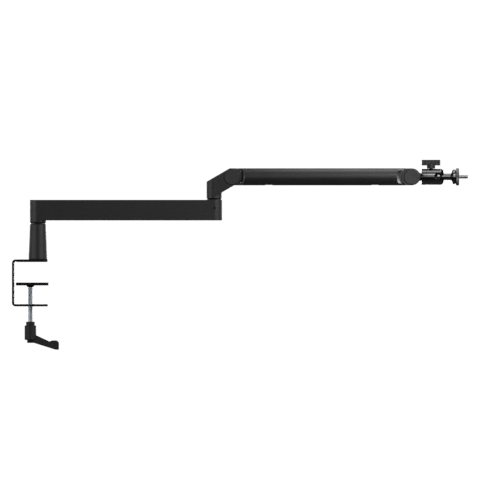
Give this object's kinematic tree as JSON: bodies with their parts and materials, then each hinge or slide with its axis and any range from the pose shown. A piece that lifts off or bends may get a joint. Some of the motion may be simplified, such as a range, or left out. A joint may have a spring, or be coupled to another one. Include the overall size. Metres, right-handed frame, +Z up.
{
  "type": "microphone boom arm",
  "caption": "Low desk-clamp microphone boom arm with a flat lower arm, a round tilting upper arm and a small ball head with a threaded stud.",
  "frame": {"origin": "on the riser axis, on the desk top under the upper clamp jaw's pad", "axes": "+X along the arms towards the microphone, +Z up, -Y towards the picture's camera"},
  "size_m": [0.7791, 0.048, 0.3249],
  "materials": {
    "frame_black": "satin powder coat",
    "arm_black": "fine matte powder coat",
    "cap_black": "matte",
    "cover_black": "matte",
    "rubber_black": "matte",
    "zinc_steel": "bright zinc plate",
    "dark_steel": "black oxide",
    "insert_steel": "black oxide",
    "lever_black": "fine grain",
    "bearing_polymer": "smooth",
    "insert_alloy": "black anodised",
    "ball_black": "gloss anodised",
    "plunger_polymer": "smooth",
    "knob_black": "fine grain",
    "stud_black": "gloss black",
    "thread_steel": "dark plate",
    "disc_bronze": "dark bronze anodised"
  },
  "bodies": {
    "clamp": {"clamp_frame": "frame_black", "top_jaw_pad": "rubber_black", "clamp_nut": "zinc_steel", "riser_post": "arm_black", "riser_bushes": "bearing_polymer", "riser_screws": "dark_steel", "riser_washer": "bearing_polymer"},
    "pressure_foot": {"pressure_plate": "frame_black", "pressure_pad": "rubber_black", "swivel_cup": "dark_steel"},
    "clamp_screw": {"clamp_screw": "zinc_steel", "ratchet_insert": "insert_steel", "lever_retaining_screw": "dark_steel", "lever_spring": "dark_steel"},
    "clamp_lever": {"lever_handle": "lever_black"},
    "lower_arm": {"lower_arm_body": "arm_black", "base_spindle": "dark_steel", "base_spindle_washer": "dark_steel", "base_spindle_screw": "dark_steel", "elbow_bushes": "bearing_polymer", "elbow_washer": "bearing_polymer", "elbow_friction_pad": "bearing_polymer", "elbow_tension_screw": "dark_steel"},
    "lower_cover": {"lower_cable_cover": "cover_black"},
    "elbow": {"elbow_knuckle": "arm_black", "elbow_spindle": "dark_steel", "elbow_spindle_washer": "dark_steel", "elbow_spindle_screw": "dark_steel", "elbow_hinge_bolt": "dark_steel", "elbow_hinge_nut": "dark_steel", "elbow_friction_washers": "bearing_polymer", "elbow_cap_front": "cap_black", "elbow_cap_rear": "cap_black"},
    "upper_arm": {"upper_arm_tube": "arm_black", "elbow_insert": "insert_alloy", "head_insert": "insert_alloy", "insert_screws": "dark_steel"},
    "upper_cover": {"upper_cable_cover": "cover_black"},
    "head_knuckle": {"head_knuckle": "arm_black", "head_hinge_bolt": "dark_steel", "head_hinge_nut": "dark_steel", "head_friction_washers": "bearing_polymer", "head_cap_front": "cap_black", "head_cap_rear": "cap_black", "head_stud": "dark_steel"},
    "ball_housing": {"ball_housing": "ball_black", "ball_base": "ball_black", "ball_plunger": "plunger_polymer"},
    "ball_knob": {"ball_knob": "knob_black", "knob_screw": "dark_steel"},
    "ball_stud": {"ball_stud": "stud_black", "stud_screw": "thread_steel"},
    "lock_disc_washer": {"lock_disc_washer": "rubber_black"},
    "lock_disc": {"lock_disc": "disc_bronze"}
  },
  "joints": [
    {"name": "clamp_travel", "type": "slide", "parent": "clamp", "child": "pressure_foot", "axis": [0, 0, 1], "range_m": [-0.0275, 0.0245]},
    {"name": "clamp_screw_turn", "type": "hinge", "parent": "pressure_foot", "child": "clamp_screw", "pos_m": [-0.013, 0, 0], "axis": [0, 0, 1], "range_deg": [-7925, 7060]},
    {"name": "lever_lift", "type": "slide", "parent": "clamp_screw", "child": "clamp_lever", "axis": [0, 0, -1], "range_m": [0, 0.003], "stiffness_N_per_m": 900, "springref_m": -0.002, "deforming": ["lever_spring"]},
    {"name": "base_swivel", "type": "hinge", "parent": "clamp", "child": "lower_arm", "pos_m": [0, 0, 0], "axis": [0, 0, 1], "continuous": true},
    {"name": "lower_cover_pull", "type": "slide", "parent": "lower_arm", "child": "lower_cover", "axis": [0, 0, -1], "range_m": [0, 0.02]},
    {"name": "elbow_swivel", "type": "hinge", "parent": "lower_arm", "child": "elbow", "pos_m": [0.3012, 0, 0.1], "axis": [0, 0, 1], "range_deg": [-150, 150]},
    {"name": "arm_tilt", "type": "hinge", "parent": "elbow", "child": "upper_arm", "pos_m": [0.3316, 0, 0.1456], "axis": [0, -1, 0], "range_deg": [-30, 90]},
    {"name": "upper_cover_pull", "type": "slide", "parent": "upper_arm", "child": "upper_cover", "axis": [0, 0, -1], "range_m": [0, 0.02]},
    {"name": "head_tilt", "type": "hinge", "parent": "upper_arm", "child": "head_knuckle", "pos_m": [0.6392, 0, 0.1456], "axis": [0, -1, 0], "range_deg": [-90, 90]},
    {"name": "ball_head_pan", "type": "hinge", "parent": "head_knuckle", "child": "ball_housing", "pos_m": [0.66, 0, 0.1456], "axis": [1, 0, 0], "range_deg": [-180, 180]},
    {"name": "ball_knob_turn", "type": "hinge", "parent": "ball_housing", "child": "ball_knob", "pos_m": [0.672, 0, 0.1456], "axis": [0, 0, 1], "range_deg": [0, 360]},
    {"name": "ball_tilt", "type": "hinge", "parent": "ball_housing", "child": "ball_stud", "pos_m": [0.683, 0, 0.1456], "axis": [0, 0, -1], "range_deg": [-10, 90]},
    {"name": "lock_disc_travel", "type": "slide", "parent": "ball_stud", "child": "lock_disc_washer", "axis": [1, 0, 0], "range_m": [0, 0.0089]},
    {"name": "lock_disc_turn", "type": "hinge", "parent": "lock_disc_washer", "child": "lock_disc", "pos_m": [0.717, 0, 0.1456], "axis": [1, 0, 0], "range_deg": [0, 2523]}
  ],
  "couplings": [
    {"joint": "clamp_screw_turn", "follows": "clamp_travel", "rad_per_m": 5026.5},
    {"joint": "lock_disc_turn", "follows": "lock_disc_travel", "rad_per_m": 4947.4}
  ]
}
